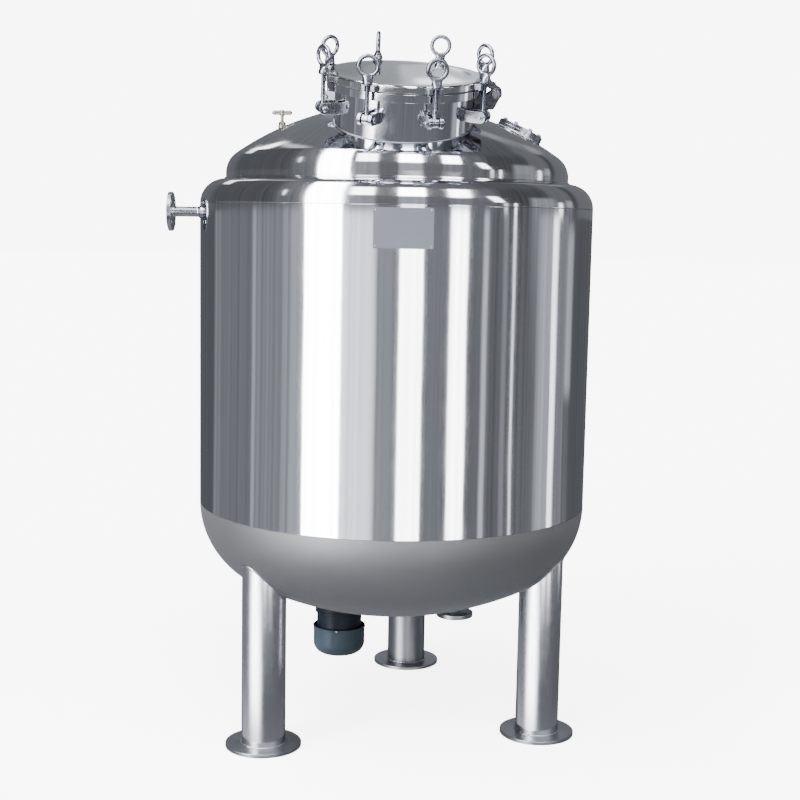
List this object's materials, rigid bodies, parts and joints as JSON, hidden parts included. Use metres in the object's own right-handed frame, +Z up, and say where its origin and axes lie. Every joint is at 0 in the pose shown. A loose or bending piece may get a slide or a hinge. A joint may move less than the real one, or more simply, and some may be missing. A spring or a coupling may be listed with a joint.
{
  "type": "homogenizer mixing tank",
  "caption": "Jacketed stainless vessel with a domed head, clamped manhole, side nozzle, bottom homogenizer with its motor, bottom outlet and tube legs on round foot plates.",
  "frame": {"origin": "centre of the footprint's box at floor level, a little to the left of the tank's own axis", "axes": "+Z up, +Y from the front with the nameplate to the back, +X to the right seen from the front; the side nozzle points along -X"},
  "size_m": [1.4114, 1.316, 2.2892],
  "materials": {
    "polished_steel": "mirror-polished stainless steel",
    "satin_steel": "satin stainless steel",
    "matt_steel": "blasted matt stainless steel",
    "hinge_steel": "dark cast steel",
    "seal_rubber": "smooth white seal",
    "sight_glass": "clear toughened glass",
    "vent_brass": "worn brass",
    "motor_paint": "dark teal enamel"
  },
  "bodies": {
    "tank": {"bottom_dish": "matt_steel", "foot_plate_back": "polished_steel", "foot_plate_left": "polished_steel", "foot_plate_right": "polished_steel", "homogenizer_housing": "satin_steel", "jacket_shoulder": "polished_steel", "jacket_wall": "polished_steel", "leg_back": "polished_steel", "leg_left": "polished_steel", "leg_right": "polished_steel", "lid_hinge_arm": "hinge_steel", "lid_hinge_bracket": "hinge_steel", "manhole_gasket": "seal_rubber", "manhole_lid": "polished_steel", "manhole_neck": "polished_steel", "motor_cowl": "motor_paint", "motor_frame": "motor_paint", "nameplate": "satin_steel", "nameplate_holder": "satin_steel", "outlet_flange": "satin_steel", "outlet_pipe": "satin_steel", "side_nozzle_flange": "polished_steel", "side_nozzle_pipe": "polished_steel", "sight_glass_base": "polished_steel", "sight_glass_pane": "sight_glass", "sight_glass_ring": "polished_steel", "top_dome": "polished_steel", "vent_stem": "vent_brass"},
    "bolt_1": {"swing_bolt_1": "polished_steel", "eye_nut_1": "polished_steel"},
    "bolt_2": {"swing_bolt_2": "polished_steel", "eye_nut_2": "polished_steel"},
    "bolt_3": {"swing_bolt_3": "polished_steel", "eye_nut_3": "polished_steel"},
    "bolt_4": {"swing_bolt_4": "polished_steel", "eye_nut_4": "polished_steel"},
    "bolt_5": {"swing_bolt_5": "polished_steel", "eye_nut_5": "polished_steel"},
    "bolt_6": {"swing_bolt_6": "polished_steel", "eye_nut_6": "polished_steel"},
    "bolt_7": {"swing_bolt_7": "polished_steel", "eye_nut_7": "polished_steel"},
    "bolt_8": {"swing_bolt_8": "polished_steel", "eye_nut_8": "polished_steel"},
    "vent_tap": {"vent_handle": "vent_brass"}
  },
  "joints": [
    {"name": "bolt_1_swing", "type": "hinge", "parent": "tank", "child": "bolt_1", "pos_m": [0.31861, -0.22843, 2.05597], "axis": [-0.3419, 0.9049, 0.2536], "range_deg": [0, 100]},
    {"name": "bolt_2_swing", "type": "hinge", "parent": "tank", "child": "bolt_2", "pos_m": [0.18321, -0.08672, 2.09835], "axis": [-0.9059, 0.4008, 0.1369], "range_deg": [0, 100]},
    {"name": "bolt_3_swing", "type": "hinge", "parent": "tank", "child": "bolt_3", "pos_m": [-0.01703, -0.0799, 2.10669], "axis": [-0.9392, -0.338, -0.06], "range_deg": [0, 100]},
    {"name": "bolt_4_swing", "type": "hinge", "parent": "tank", "child": "bolt_4", "pos_m": [-0.1648, -0.21196, 2.07611], "axis": [-0.4224, -0.8789, -0.2217], "range_deg": [0, 100]},
    {"name": "bolt_5_swing", "type": "hinge", "parent": "tank", "child": "bolt_5", "pos_m": [-0.17354, -0.40554, 2.02453], "axis": [0.3419, -0.9049, -0.2536], "range_deg": [0, 100]},
    {"name": "bolt_6_swing", "type": "hinge", "parent": "tank", "child": "bolt_6", "pos_m": [-0.03814, -0.54725, 1.98215], "axis": [0.9059, -0.4009, -0.1369], "range_deg": [0, 100]},
    {"name": "bolt_7_swing", "type": "hinge", "parent": "tank", "child": "bolt_7", "pos_m": [0.1621, -0.55407, 1.97381], "axis": [0.9392, 0.338, 0.06], "range_deg": [0, 100]},
    {"name": "bolt_8_swing", "type": "hinge", "parent": "tank", "child": "bolt_8", "pos_m": [0.30987, -0.42201, 2.00439], "axis": [0.4224, 0.8789, 0.2217], "range_deg": [0, 100]},
    {"name": "vent_tap_turn", "type": "hinge", "parent": "tank", "child": "vent_tap", "pos_m": [-0.32825, -0.00052, 2.026], "axis": [0, 0, 1], "range_deg": [0, 90]}
  ]
}
